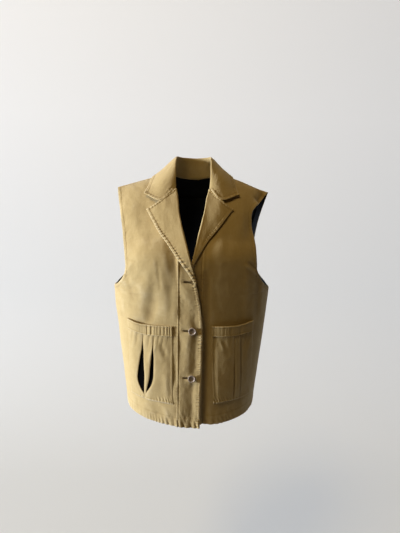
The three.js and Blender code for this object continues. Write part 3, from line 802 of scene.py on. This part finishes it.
def make_lapel(side):
    """A turned-back lapel: it rolls out of the front's edge and lies on the front, with a sewn edge."""
    along = np.linspace(0.02, 1, 220)
    edge = LAPEL_EDGES[side.name](along)
    roll_level = edge["roll_level"]
    roll = ROLL(roll_level)[side.name]
    share = np.linspace(0, 1, 60)[None, :]
    own = roll[:, None] + (edge["x"] - roll)[:, None] * share
    level = roll_level[:, None] + (edge["level"] - roll_level)[:, None] * share
    level = level - 5.5 * np.sin(np.pi * share) * smooth(along, 0.6, 1)[:, None]
    lift = LAPEL_LIFT * smooth(along, 0, 0.4)[:, None]
    rounded = LAPEL_ROUND[side.name] * np.sin(np.pi * share) * along[:, None] + lift * (1 - share) ** 1.2
    rounded = rounded + LAPEL_GAPE[side.name] * smooth(share, 0.1, 0.6) * smooth(along, 0.05, 0.3)[:, None]
    points, _, _ = on_front(side, own, level, LAPEL_OFF + rounded)
    base, base_out, _ = on_front(side, roll, roll_level, np.zeros_like(roll))
    towards = unit(points[:, 0] - points[:, 3])
    turn = np.linspace(math.pi, 0, ROLL_COLUMNS + 1)[:-1]
    bulge = (2.0 + 0.4 * along)[:, None, None]
    over = ((LAPEL_OFF + lift) * (1 + np.cos(turn)) / 2)[..., None]
    rolled = base[:, None] + base_out[:, None] * over + towards[:, None] * bulge * np.sin(turn)[None, :, None]
    points = side.in_order(np.concatenate([rolled, points], axis=1))
    cloth = Cloth(points, grid_normals(points), grain=-1 if side.sign < 0 else 0)
    crumpled(cloth, seed=71 if side is RIGHT else 81, size=0.6)
    edge = cloth.seam(side.outer)
    if side is RIGHT:
        distance, run = from_line(cloth.points, edge[0])
        height = 1.5 + 0.2 * (1 - smooth(run, 120, 200))
        cloth.relief += height * bump(distance - 5, 5) * ripples(run + 0.5 * distance, length=10, seed=14)
    turned_edge(cloth, edge, width=7, seed=15, pucker=0.3, length=10, groove=0.7 if side is RIGHT else 0.3)
    turned_edge(cloth, cloth.seam("top"), width=5, seed=16, pucker=0.6, length=8, groove=0.7)
    cloth_piece(f"canvas_lapel_{side.name}", [cloth], washed_canvas, f"lapel_{side.name}")


def curve_through(points, shares):
    """Points at even shares along a smooth curve through given points (rows of x, y, z)."""
    points = np.asarray(points, float)
    ends = [2 * points[0] - points[1], *points, 2 * points[-1] - points[-2]]
    knots = np.array(ends)
    place = np.asarray(shares) * (len(points) - 1)
    k = np.minimum(place.astype(int), len(points) - 2)
    t = (place - k).reshape(-1, *[1] * (knots.ndim - 1))
    p0, p1, p2, p3 = (knots[k + step] for step in range(4))
    gaps = [np.linalg.norm(b - a, axis=-1, keepdims=True) ** 0.5 for a, b in ((p0, p1), (p1, p2), (p2, p3))]
    first, second, third = (np.maximum(gap, 1e-4) for gap in gaps)
    leave = ((p1 - p0) / first - (p2 - p0) / (first + second) + (p2 - p1) / second) * second
    arrive = ((p2 - p1) / second - (p3 - p1) / (second + third) + (p3 - p2) / third) * second
    rest = -3 * p1 + 3 * p2 - 2 * leave - arrive
    return p1 + leave * t + rest * t**2 + (2 * p1 - 2 * p2 + leave + arrive) * t**3


# Sections of the collar from the middle of the back to its front ends: seam, fold, fall and edge.
COLLAR_BACK = [
    [[0, 67, -12], [0, 58, 46], [0, 77, 28], [0, 87, -30]],
    [[40, 56, -8], [33, 48, 47], [50, 64, 28], [68, 74, -28]],
    [[70, 18, 1.5], [47, 22, 48], [72, 34, 26], [102, 46, -20]],
]
COLLAR_ENDS = {
    "right": [
        [[71, -2, 0.5], [48, 0, 42], [77, 2, 20], [113, 4, -8]],
        [[58, -30, -23], [49, -30, 8], [82, -34, -10], [123, -28, -34]],
        [[47, -49, -43], [46, -52, -39], [85, -74, -71], [131, -50, -55]],
    ],
    "left": [
        [[71, -2, 0.5], [48, 0, 42], [76, 2, 20], [109, 4, -6]],
        [[58, -30, -23], [49, -30, 8], [80, -34, -9], [117, -28, -33]],
        [[47, -49, -43], [46, -52, -39], [76, -73, -68], [124.5, -50, -54.5]],
    ],
}


def make_collar():
    """The folded collar, stand and fall in one cloth, with two rows of stitching along its edge."""
    rows, columns, fold_row = 72, 240, 30
    right = np.array(COLLAR_BACK + COLLAR_ENDS["right"]) * [-1, 1, 1]
    left = np.array(COLLAR_BACK + COLLAR_ENDS["left"])
    sections = np.concatenate([right[:0:-1], left])
    lines = [curve_through(sections[:, k], np.linspace(0, 1, columns)) for k in range(4)]
    points = curve_through(np.stack(lines), np.linspace(0, 1, rows))
    cloth = Cloth(points, grid_normals(points))
    crumpled(cloth, seed=91, size=0.5)
    turned_edge(cloth, cloth.seam("top"), width=9, seed=17, pucker=0.3, groove=0.9, rows=(0.0, 5.0))
    on_fall = np.arange(rows) > fold_row
    for end, seed in (("left", 18), ("right", 19)):
        turned_edge(cloth, cloth.seam(end, on_fall), width=7, seed=seed, pucker=0.6, length=8, groove=0.9)
    cloth_piece("canvas_collar", [cloth], washed_canvas, "collar")


BACK_COLUMNS = 140


def back_cloth(levels, columns, off=0.0, inset=0, thick=CANVAS):
    """The back in one piece from side to side, with the neck cut out and its turn there eased."""
    level = levels[:, None]
    edge = np.where(levels <= UNDERARM, BODY(levels)["width"], ARMHOLE(levels)["back"] - inset)
    start = np.maximum(math.pi - angle_at(edge, levels), math.pi / 2)[:, None]
    share = np.linspace(0, 1, columns + 1)[None, :]
    angle = start + (2 * math.pi - 2 * start) * share
    x = shell(angle, level)[..., 0]
    dip = NECK_DROP * lift_at(level) ** 3 * np.maximum(0, 1 - (x / NECK_SIDE) ** 2)
    level = level - dip
    on_shell, out = shell(angle, level), out_from(angle, level)
    rise = off + fold_rise(on_shell[..., 0], level, BACK_FOLDS)
    points = on_shell + out * rise[..., None]
    below_neck = smooth(-levels, 20, 60)[:, None, None]
    for _ in range(NECK_EASING * columns**2 // BACK_COLUMNS**2):
        points[:, 1:-1] += below_neck * (points[:, :-2] - 2 * points[:, 1:-1] + points[:, 2:]) / 4
    return Cloth(points, out, x, level, thick, grain=columns // 2)


def make_back():
    """The back panel, sewn to the fronts at the sides and shoulders."""
    levels = shoulder_levels(HEM, step=3.0)
    cloth = back_cloth(levels, BACK_COLUMNS)
    crumpled(cloth, seed=101, size=0.6)
    on_side, on_armhole = levels <= UNDERARM, levels >= UNDERARM
    for edge, seed in (("left", 20), ("right", 21)):
        felled_seam(cloth, cloth.seam(edge, on_side), half=3, seed=seed, pucker=0.5)
        turned_edge(cloth, cloth.seam(edge, on_armhole), width=9, seed=seed + 2, pucker=0.45)
    felled_seam(cloth, cloth.seam("top"), half=3, seed=24, pucker=0.3)
    hemmed(cloth)
    cloth_piece("canvas_back", [cloth], washed_canvas, "back",
                inside=dark_lining)


def make_linings():
    """The linings of the fronts and the back, which end short of the armholes and the hem."""
    levels = np.arange(HEM + 28, -60, 5.0)
    columns, short = 40, 16
    for side in (RIGHT, LEFT):
        inner = np.maximum(BAND_SEAM + 22, ROLL(levels)[side.name] + 12)
        outer = np.where(levels <= UNDERARM, BODY(levels)["width"], ARMHOLE(levels)[side.name] - short)
        hang = -STEP + (LINING_OFF + STEP) * smooth(np.linspace(0, 1, columns + 1), 0, 0.2)[None, :]
        cloth = front_cloth(side, inner, outer, levels, columns, SPREAD, hang, THIN)
        crumpled(cloth, seed=111 if side is RIGHT else 121, size=0.4)
        cloth.relief += np.minimum(0, crease_rise(cloth.x, cloth.level, FRONT_CREASES)) - 0.8
        cloth_piece(f"dark_lining_{side.name}", [cloth], dark_lining, f"lining_{side.name}")
    cloth = back_cloth(levels, 2 * columns, LINING_OFF, short, THIN)
    crumpled(cloth, seed=131, size=0.5)
    cloth_piece("dark_lining_back", [cloth], dark_lining, "lining_back")


# Where the pockets' sides are sewn, as own distances.
POCKET_SIDES = {
    "right": table(["level", "inner", "outer"], [[-620, 44, 166], [-500, 44.5, 168], [-388, 45, 170]]),
    "left": table(["level", "inner", "outer"], [[-620, 66, 171], [-500, 59, 170], [-388, 57, 168]]),
}
# Edges of the two pleat folds, as own distances: the right pleat gapes, the left one is closed.
PLEATS = {
    "right": table(["level", "a0", "a1", "b0", "b1"], [
        [-620, 118.6, 119, 124, 124.4], [-604, 118.8, 119.2, 124.4, 125.4], [-596, 116.5, 119, 124.2, 131],
        [-584, 109.6, 116.4, 123.4, 137], [-571, 103, 113.4, 122.4, 141.6], [-558, 99, 110.2, 121.8, 143.4],
        [-545, 96.7, 108, 121.2, 141.8], [-522, 95.7, 106.2, 122.4, 138.6], [-497, 95, 103.4, 123.4, 134.6],
        [-471, 95.4, 100.6, 124, 130.2], [-450, 95.6, 97.5, 125, 127.4], [-438, 96, 96.6, 125.3, 125.9],
        [-388, 96.2, 96.6, 126, 126.4],
    ]),
    "left": table(["level", "a0", "a1", "b0", "b1"], [
        [-620, 121.6, 122, 138.6, 139], [-560, 120.4, 121.2, 136.4, 138.8], [-500, 118.6, 119.4, 134.6, 137],
        [-430, 116.6, 117.1, 133.2, 134.6], [-388, 116.4, 116.8, 133.2, 133.6],
    ]),
}


def pocket_cloth(side, first, last, ups, columns, extra=0.0, thick=CANVAS):
    """A strip of a pocket between two own distances, which are given at each height."""
    share = np.linspace(0, 1, columns + 1)[None, :]
    own = first[:, None] + (last - first)[:, None] * share
    up = np.broadcast_to(ups[:, None], own.shape)
    top = POCKET_TOP + 8 * smooth(own, 118, 172)
    level = POCKET_BOTTOM + (top - POCKET_BOTTOM) * up
    sides = POCKET_SIDES[side.name](level)
    across = (own - sides["inner"]) / (sides["outer"] - sides["inner"])
    fill = smooth(across, 0, 0.5) * (1 - 0.85 * smooth(across, 0.5, 1)) * smooth(up, 0, 0.25)
    mouth = MOUTH_GAPE[side.name] * bump(across - 0.78, 0.15) * smooth(up, 0.78, 1)
    off = POCKET_SEAT + POCKET_PUFF * fill + mouth + extra
    own, level, off = side.in_order(own), side.in_order(level), side.in_order(off)
    points, out, x = on_front(side, own, level, off)
    cloth = Cloth(points, out, x, level, thick, grain=-1 if side.sign < 0 else 0)
    cloth.across, cloth.up = side.in_order(across), side.in_order(up)
    return cloth


# Creases of the pockets and of their bands, written like those of the fronts.
POCKET_CREASES = [
    [-90, -444, -112, -512, 7, 1.3], [-94, -436, -70, -500, 9, 1.0], [-80, -436, -62, -486, 7, -0.9],
    [-160, -432, -150, -560, 12, 1.0],
    [-66, -520, -60, -600, 7, 0.7], [72, -424, 92, -470, 4, 0.9], [82, -422, 104, -486, 6, -0.8],
    [70, -430, 76, -600, 6, 0.7], [156, -430, 156, -600, 8, 0.8], [108, -470, 106, -600, 10, -0.7],
]
BAND_CREASES = [
    [-112, -392, -112, -430, 2.4, -1.6], [-100, -392, -101, -430, 2.6, -1.4],
    [106, -392, 106, -430, 2.4, -1.0], [132, -392, 132, -430, 3, -1.0],
]


def pocket_rows(side, ups):
    """The levels of a pocket's rows, with the places of its sides and pleat folds."""
    level = POCKET_BOTTOM + POCKET_HEIGHT * ups
    return {**POCKET_SIDES[side.name](level), **PLEATS[side.name](level)}


def sewn_and_pressed(strip):
    """1 at a pocket's sewn edges, and 1 on the strip pressed flat along its inner side."""
    width, height = POCKET_SPAN
    from_side = np.minimum(strip.across, 1 - strip.across) * width
    sewn = 1 - smooth(np.minimum(from_side, strip.up * height), *SEWN_FLAT)
    return sewn, (1 - smooth(strip.across * width, *PRESSED)) * (1 - sewn)


def make_pocket(side):
    """A patch pocket in three strips, parted by the two folds of its box pleat."""
    ups = np.linspace(0, 1, 140)
    at = pocket_rows(side, ups)
    strips = [
        pocket_cloth(side, at["inner"], at["a0"], ups, 36),
        pocket_cloth(side, at["a1"], at["b0"], ups, 20),
        pocket_cloth(side, at["b1"], at["outer"], ups, 30),
    ]
    gaping = np.clip((at["b1"] - at["b0"]) / 20, 0, 1)[:, None]
    folded = [[side.outer], [side.inner, side.outer], [side.inner]]
    for k, strip in enumerate(strips):
        first, between, last = k == 0, k == 1, k == 2
        crumpled(strip, seed=141 if side is RIGHT else 151, size=0.6)
        strip.relief += crease_rise(strip.x, strip.level, POCKET_CREASES)
        below = (1 - POCKET_BAND / POCKET_HEIGHT - strip.up) * POCKET_HEIGHT
        gathers = smooth(below, -4, 4) * (1 - smooth(below, 12, 55))
        strip.relief += 0.5 * gathers * ripples(strip.x + 0.15 * below, length=13, seed=37)
        turned_edge(strip, strip.seam("bottom"), width=6, seed=26 + k, pucker=0.7 if first else 0.4, length=9,
                    groove=0.5 if first else 0.15)
        if first:
            turned_edge(strip, strip.seam(side.inner), width=5, seed=27, pucker=0.12, length=10,
                        groove=0.2 if side is RIGHT else 0.5)
            foot = bump(strip.up * POCKET_HEIGHT - 9, 8) * smooth(1 - strip.across, 0.55, 0.7)
            strip.relief += 1.5 * foot * ripples(strip.x + 0.3 * strip.level, length=8, seed=38)
        if between and side is LEFT:
            strip.relief += 1.8 * smooth(strip.up, 0, 0.1) * (1 - smooth(strip.up, 0.8, 0.9))
        if last:
            turned_edge(strip, strip.seam(side.outer), width=5, seed=28, pucker=0.3, length=10, groove=0.1)
        for edge in folded[k]:
            distance, _ = from_line(strip.points, strip.seam(edge)[0])
            strip.relief -= 0.6 * bump(distance, 2.5) * (0.4 + gaping)
            # Rubbed pale just beside each fold edge; right at the edge the colour is darkened as painted
            # shade of the pleat's gap.
            strip.wear += 0.5 * bump(distance - 2.5, 2) - 1.2 * bump(distance, 1.5)
        sewn, pressed = sewn_and_pressed(strip)
        strip.thick -= 1.0 * sewn + 0.5 * pressed
        strip.relief -= 1.5 * sewn + 0.8 * pressed
    cloth_piece(f"canvas_pocket_{side.name}", strips, washed_canvas, f"pocket_{side.name}")


def make_pocket_band(side):
    """The turned hem at a pocket's mouth, drawn up a little by its stitching."""
    ups = np.linspace(1 - POCKET_BAND / POCKET_HEIGHT, 1, 26)
    at = pocket_rows(side, ups)
    cloth = pocket_cloth(side, at["inner"] + 0.4, at["outer"] - 0.4, ups, 120, CANVAS, THIN)
    crumpled(cloth, seed=161, size=0.3)
    cloth.relief += crease_rise(cloth.x, cloth.level, BAND_CREASES)
    sewn, pressed = sewn_and_pressed(cloth)
    cloth.relief -= 1.7 * sewn + 0.8 * pressed
    middle = 2 * (cloth.up - ups[0]) / (1 - ups[0]) - 1
    drawn = 0.15 + (0.35 if side is RIGHT else 0.2) * (1 - smooth(side.sign * cloth.x, 105, 150))
    cloth.relief += drawn * (1 - 0.6 * middle**2) * ripples(cloth.u, length=7, seed=29)
    turned_edge(cloth, cloth.seam("bottom"), width=2.5, seed=30, pucker=0.15, length=9)
    turned_edge(cloth, cloth.seam("top"), width=3, seed=32, pucker=0.15, length=9)
    cloth_piece(f"canvas_pocket_band_{side.name}", [cloth], washed_canvas, f"pocket_band_{side.name}")


def make_pleat_lining():
    """The dark cloth behind the right pocket's gaping pleat, made near black as painted shade."""
    ups = np.linspace(0.04, 0.84, 60)
    at = pocket_rows(RIGHT, ups)
    cloth = pocket_cloth(RIGHT, at["a0"] - 10, at["b1"] + 12, ups, 40, -STEP - 0.2, THIN)
    inside = smooth(cloth.u - cloth.u[:, :1], 0, 12) * smooth(cloth.u[:, -1:] - cloth.u, 0, 12)
    cloth.relief -= 0.8 * inside * smooth(cloth.up, 0.05, 0.25) * (1 - smooth(cloth.up, 0.6, 0.85))
    crumpled(cloth, seed=171, size=0.2)
    cloth_piece("dark_pleat_lining_painted_shade", [cloth], pleat_cloth, "pleat_lining_right")


HOLE_OUT = 2.1      # how far a button's holes are from its middle, across and up


def lathe_button(name, level, seat_off):
    """A turned button: a rounded rim and a dished face with four holes. Returns its place."""
    seat, _, _ = on_front(RIGHT, np.array([-float(BUTTON_X)]), np.array([float(level)]), np.array([seat_off]))
    seat = seat[0]
    rings, around, face_ring = 90, 96, 60
    r, t = BUTTON_RADIUS, BUTTON_THICK
    profile = np.array([
        [0.02, 0], [r * 0.55, 0], [r * 0.8, 0.05], [r * 0.93, t * 0.14], [r, t * 0.42], [r, t * 0.7],
        [r * 0.965, t * 0.9], [r * 0.9, t], [r * 0.8, t], [r * 0.72, t * 0.9], [r * 0.66, t * 0.7],
        [r * 0.58, t * 0.6], [r * 0.3, t * 0.56], [0.02, t * 0.55],
    ])
    line = curve_through(np.c_[profile, np.zeros(len(profile))], np.linspace(0, 1, rings))
    turn = np.linspace(0, 2 * np.pi, around, endpoint=False)
    radius, height = line[:, None, 0], line[:, None, 1]
    x, z = radius * np.cos(turn), radius * np.sin(turn)
    height = np.broadcast_to(height, x.shape).copy()
    face = np.arange(rings)[:, None] > face_ring
    for hx, hz in ((1, 1), (1, -1), (-1, 1), (-1, -1)):
        gap = np.hypot(x - HOLE_OUT * hx, z - HOLE_OUT * hz)
        height -= np.where(face, 1.5 * (1 - smooth(gap, 0.7, 1.2)), 0)
    vertices = np.stack([x, -height, z], -1).reshape(-1, 3) + seat
    index = np.arange(rings * around).reshape(rings, around)
    beside = np.roll(index, -1, axis=1)
    faces = np.stack([index[:-1], index[1:], beside[1:], beside[:-1]], -1).reshape(-1, 4)
    count = around // 2 - 1
    caps = np.stack([np.stack([index[row, k], index[row, k + 1], index[row, -k - 2], index[row, -k - 1]])
                     for row in (0, -1) for k in range(count)])
    caps[count:] = caps[count:, ::-1]
    button = new_mesh(f"horn_button_{name}", vertices, np.concatenate([faces, caps])[:, ::-1])
    dressed(button, brown_horn)
    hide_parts(f"button_{name}")
    return seat


STRAND_RADIUS, SHANK_RADIUS = 0.28, 1.5     # of the thread through the holes, and of the wound shank


def strand_mesh(name, strands, material, sides=8):
    """Short rounded strands of thread, each a bowed tube along a few points."""
    vertices, faces, start = [], [], 0
    ring = np.linspace(0, 2 * np.pi, sides, endpoint=False)
    for points, radius in strands:
        run = unit(np.gradient(points, axis=0))
        flat = unit(np.cross(run, [0.0, 1.0, 0.03]))
        rise = np.cross(run, flat)
        taper = np.sin(np.linspace(0.15, math.pi - 0.15, len(points)))[:, None, None] ** 0.3
        loops = points[:, None] + radius * taper * (
            np.cos(ring)[None, :, None] * flat[:, None] + np.sin(ring)[None, :, None] * rise[:, None])
        count = len(points)
        index = np.arange(count * sides).reshape(count, sides) + start
        beside = np.roll(index, -1, axis=1)
        faces.append(np.stack([index[:-1], beside[:-1], beside[1:], index[1:]], -1).reshape(-1, 4))
        for row, order in ((0, -1), (count - 1, 1)):
            turn = index[row][::order]
            fan = [[turn[0], turn[k], turn[k + 1], turn[k + 2]] for k in range(1, sides - 2, 2)]
            faces.append(np.stack(fan))
        vertices.append(loops.reshape(-1, 3))
        start += count * sides
    dressed(new_mesh(name, np.concatenate(vertices), np.concatenate(faces)), material)


def make_buttons(band):
    """The three buttons with their thread, and the buttonholes; the top one lies under the overlap."""
    on_top = CANVAS / 2 + LAYER
    under = -RECESS + CANVAS / 2 + LAYER
    strands = []
    for name, level in BUTTON_LEVELS.items():
        seat = lathe_button(name, level, under if name == "top" else on_top)
        depth = BUTTON_THICK * 0.55
        bow = np.linspace(0, math.pi, 9)
        for across in (-HOLE_OUT, HOLE_OUT):
            for shift in (-0.35, 0, 0.35):
                out = -depth - 0.9 * np.sin(bow) + 0.5
                line = np.stack([-HOLE_OUT * np.cos(bow), out, 0 * bow + across + shift], -1)
                strands.append((line + seat, STRAND_RADIUS))
        shank = np.stack([np.zeros(5), np.linspace(0.6, 6.6 if name != "top" else 1.0, 5), np.zeros(5)], -1)
        strands.append((seat + shank, SHANK_RADIUS))
        keyhole(band, level)
    strand_mesh("button_thread", strands, brown_thread)


def keyhole(band, level):
    """The worked edge of a keyhole buttonhole: close stitches round a slit with a round eye."""
    end, eye = BUTTON_X - HOLE_LENGTH, BUTTON_X
    turn = np.linspace(-2.6, 2.6, 13)
    path = [[x, 1.9] for x in np.linspace(end, eye - 3.5, 22)]
    path += [[eye - 0.4 + 3.4 * math.cos(a), -3.4 * math.sin(a)] for a in turn]
    path += [[x, -1.9] for x in np.linspace(eye - 3.5, end, 22)]
    path += [[end - 1.2, 0.0]]
    path = np.array(path)
    level = np.array(float(level))
    z = shell(angle_at(np.array(float(BUTTON_X)), level), level)[2]
    face = band.face()[0].reshape(-1, 3)
    near = [np.argmin(np.hypot(face[:, 0] - x, face[:, 2] - (z + up))) for x, up in path]
    places = np.stack([path[:, 0], face[near, 1], z + path[:, 1]], -1)
    centres, normal = seated(band, places)
    middle = np.array([[x, 0, z] for x in np.clip(path[:, 0], end, eye)])
    away = unit((centres - middle) * [1, 0, 1] + 1e-6)
    stitches["buttonhole_stitches"].append((centres, away, normal))


def make_stitches():
    """Builds every laid stitch as a small pointed bead of thread."""
    materials = {"topstitching": khaki_thread, "buttonhole_stitches": brown_thread}
    corner = [[0, 2, 4], [2, 1, 4], [1, 3, 4], [3, 0, 4], [2, 0, 5], [1, 2, 5], [3, 1, 5], [0, 3, 5]]
    for name, rows in stitches.items():
        centre, run, normal = (np.concatenate([row[k] for row in rows]) for k in range(3))
        side = unit(np.cross(normal, run))
        long, wide, high = STITCH_SIZES[name]
        sizes = ((run, long / 2), (side, wide / 2), (normal, high))
        corners = [centre + way * size * end for way, size in sizes for end in (1, -1)]
        vertices = np.stack(corners, 1).reshape(-1, 3)
        faces = (np.array(corner)[None] + 6 * np.arange(len(centre))[:, None, None]).reshape(-1, 3)
        dressed(new_mesh(name, vertices, faces), materials[name])


def make_stage():
    """A plain pale floor that sweeps up into a plain pale wall well behind the vest."""
    floor_level, wall_at, sweep, top = -1.55, 1.5, 0.8, 3.2
    turn = np.linspace(0, math.pi / 2, 25)
    y = np.concatenate([[-0.9, -0.5], wall_at - sweep + sweep * np.sin(turn), [wall_at]])
    z = np.concatenate([[floor_level, floor_level], floor_level + sweep * (1 - np.cos(turn)), [top]])
    x = np.array([-4.0, 4.0])
    points = np.stack([np.repeat(x, len(y)), np.tile(y, 2), np.tile(z, 2)], -1) / MM
    near = np.arange(len(y) - 1)
    floor = new_mesh("studio_floor", points, np.stack([near, near + len(y), near + len(y) + 1, near + 1], -1))
    # Matt emulsion rolled on plaster: no gloss; painted shade makes it a little darker towards the ground and
    # paler up the wall, and it glows faintly and evenly.
    material, tree = new_material("pale_floor_with_painted_shade")
    place = add_node(tree, "ShaderNodeTexCoord").outputs["Object"]
    height = add_node(tree, "ShaderNodeSeparateXYZ", {"Vector": place}).outputs["Z"]
    raised = add_node(tree, "ShaderNodeMapRange", {
        "Value": height, "From Min": floor_level, "From Max": 0.4,
    }).outputs[0]
    glow = add_node(tree, "ShaderNodeMapRange", {"Value": raised, "To Min": 0.21, "To Max": 0.22}).outputs[0]
    # Painted shade: the colour darkens from the upper wall down to the floor.
    ramp = add_node(tree, "ShaderNodeValToRGB", {"Fac": raised})
    ramp.color_ramp.elements[0].color = colour("#c4c5c3")
    ramp.color_ramp.elements[1].color = colour("#dcdddd")
    shader = add_node(tree, "ShaderNodeBsdfPrincipled", {
        "Base Color": ramp.outputs["Color"], "Roughness": 1.0, "Specular IOR Level": 0.0,
        "Emission Color": colour("#f6f8fc"), "Emission Strength": glow,
    })
    add_node(tree, "ShaderNodeOutputMaterial", {"Surface": shader.outputs[0]})
    floor.data.materials.append(material)


def area_light(name, place, target, size, power, code):
    """A square light at a place in metres, turned to face its target."""
    light = bpy.data.lights.new(name, "AREA")
    light.shape, light.size, light.size_y = "RECTANGLE", *size
    light.energy, light.color = power, colour(code)[:3]
    lamp = bpy.data.objects.new(name, light)
    bpy.context.scene.collection.objects.link(lamp)
    away = np.array(place, float) - np.array(target, float)
    right = unit(np.cross([0, 0, 1.0], away))
    up = unit(np.cross(away, right))
    turned = np.stack([right, up, unit(away)], -1)
    lamp.matrix_world = Matrix.Translation(place) @ Matrix(turned.tolist()).to_4x4()
    lamp.visible_camera = False


def make_light():
    """Soft window light from the viewer's left, a weak light from above and a faint warm fill."""
    chest = (0, -0.05, -0.35)
    area_light("window", (-17.6, -2.8, 1.2), chest, (3.2, 4.0), 7900, "#ebf2ff")
    area_light("lamp", (-1.7, -1.9, 3.8), chest, (1.3, 1.3), 88, "#ffe2a6")
    world = bpy.data.worlds.new("studio")
    world.use_nodes = True
    tree = world.node_tree
    tree.nodes.clear()
    seen = add_node(tree, "ShaderNodeBackground", {"Color": colour("#ebebe7"), "Strength": 1.0})
    lighting = add_node(tree, "ShaderNodeBackground", {"Color": colour("#ffc66e"), "Strength": 0.035})
    to_camera = add_node(tree, "ShaderNodeLightPath").outputs["Is Camera Ray"]
    mixed = add_node(tree, "ShaderNodeMixShader", {0: to_camera, 1: lighting.outputs[0], 2: seen.outputs[0]})
    add_node(tree, "ShaderNodeOutputWorld", {"Surface": mixed.outputs[0]})
    bpy.context.scene.world = world
    bpy.context.scene.view_settings.view_transform = "Standard"


def make_camera():
    """The photograph's view: 11 degrees down, turned 1 degree, 1.15 m in front of the shoulders."""
    data = bpy.data.cameras.new("camera")
    data.lens, data.sensor_width = 27.0, 36.0
    camera = bpy.data.objects.new("camera", data)
    bpy.context.scene.collection.objects.link(camera)
    tilt = Matrix.Rotation(math.radians(90 - 11), 4, "X")
    roll = Matrix.Rotation(math.radians(1.0), 4, "Z")
    camera.matrix_world = Matrix.Translation((0.023, -1.150, -0.040)) @ tilt @ roll
    bpy.context.scene.camera = camera


make_camera()
make_light()
make_stage()
bands = {}
for half in (RIGHT, LEFT):
    make_front(half)
    bands[half.name] = make_band(half)
    make_lapel(half)
    make_pocket(half)
    make_pocket_band(half)
make_collar()
make_back()
make_linings()
make_pleat_lining()
make_buttons(bands["right"])
make_stitches()
